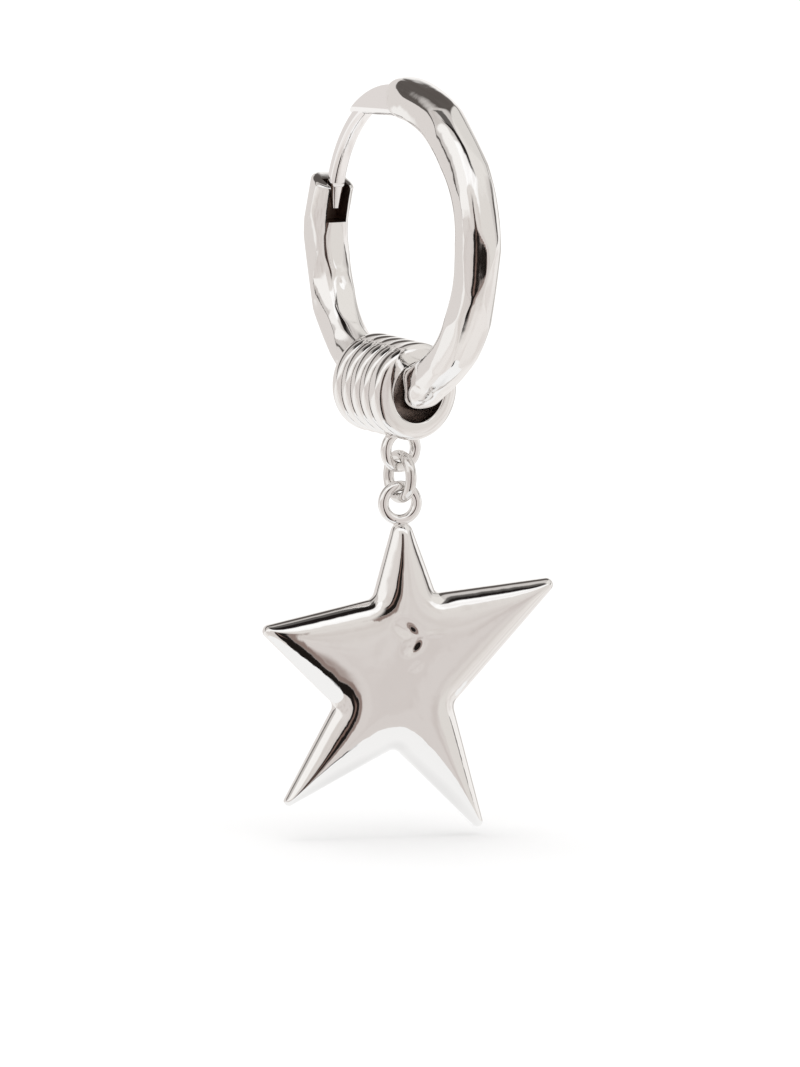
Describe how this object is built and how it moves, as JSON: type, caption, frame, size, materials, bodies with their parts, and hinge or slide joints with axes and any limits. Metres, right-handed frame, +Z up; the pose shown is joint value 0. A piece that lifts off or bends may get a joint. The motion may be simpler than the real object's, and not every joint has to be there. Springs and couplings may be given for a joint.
{
  "type": "hoop charm earring",
  "caption": "Hammered silver hoop earring with a hinged ear post, a ribbed bead threaded on the hoop and a puffed star hanging from it by a jump ring.",
  "frame": {"origin": "seat of the ear lobe, on the middle line of the hinged ear post, half way along its open stretch", "axes": "the hoop lies in the Y-Z plane with its front at -Y, +Z is up, and the star hangs along -Z"},
  "size_m": [0.0158, 0.0181, 0.0412],
  "materials": {
    "polished_silver": "mirror-polished sterling silver with a bright rhodium plate",
    "post_silver": "bright polished silver wire"
  },
  "bodies": {
    "hoop_body": {"hoop": "polished_silver", "hinge_pin": "polished_silver"},
    "post_body": {"ear_post": "post_silver"},
    "bead_body": {"ribbed_bead": "polished_silver"},
    "ring_body": {"jump_ring": "polished_silver"},
    "star_body": {"star": "polished_silver"}
  },
  "joints": [
    {"name": "post_hinge", "type": "hinge", "parent": "hoop_body", "child": "post_body", "pos_m": [0, -0.00654, 0.00274], "axis": [-1, 0, 0], "range_deg": [0, 45]},
    {"name": "bead_slide", "type": "hinge", "parent": "hoop_body", "child": "bead_body", "pos_m": [0, -0.00583, -0.00513], "axis": [1, 0, 0], "range_deg": [-60, 60]},
    {"name": "ring_swing", "type": "hinge", "parent": "bead_body", "child": "ring_body", "pos_m": [0.00005, -0.00561, -0.01739], "axis": [1, 0, 0], "range_deg": [-60, 60]},
    {"name": "star_swing", "type": "hinge", "parent": "ring_body", "child": "star_body", "pos_m": [0.00005, -0.00561, -0.01908], "axis": [-0.2756, -0.9613, 0], "range_deg": [-45, 45]}
  ]
}
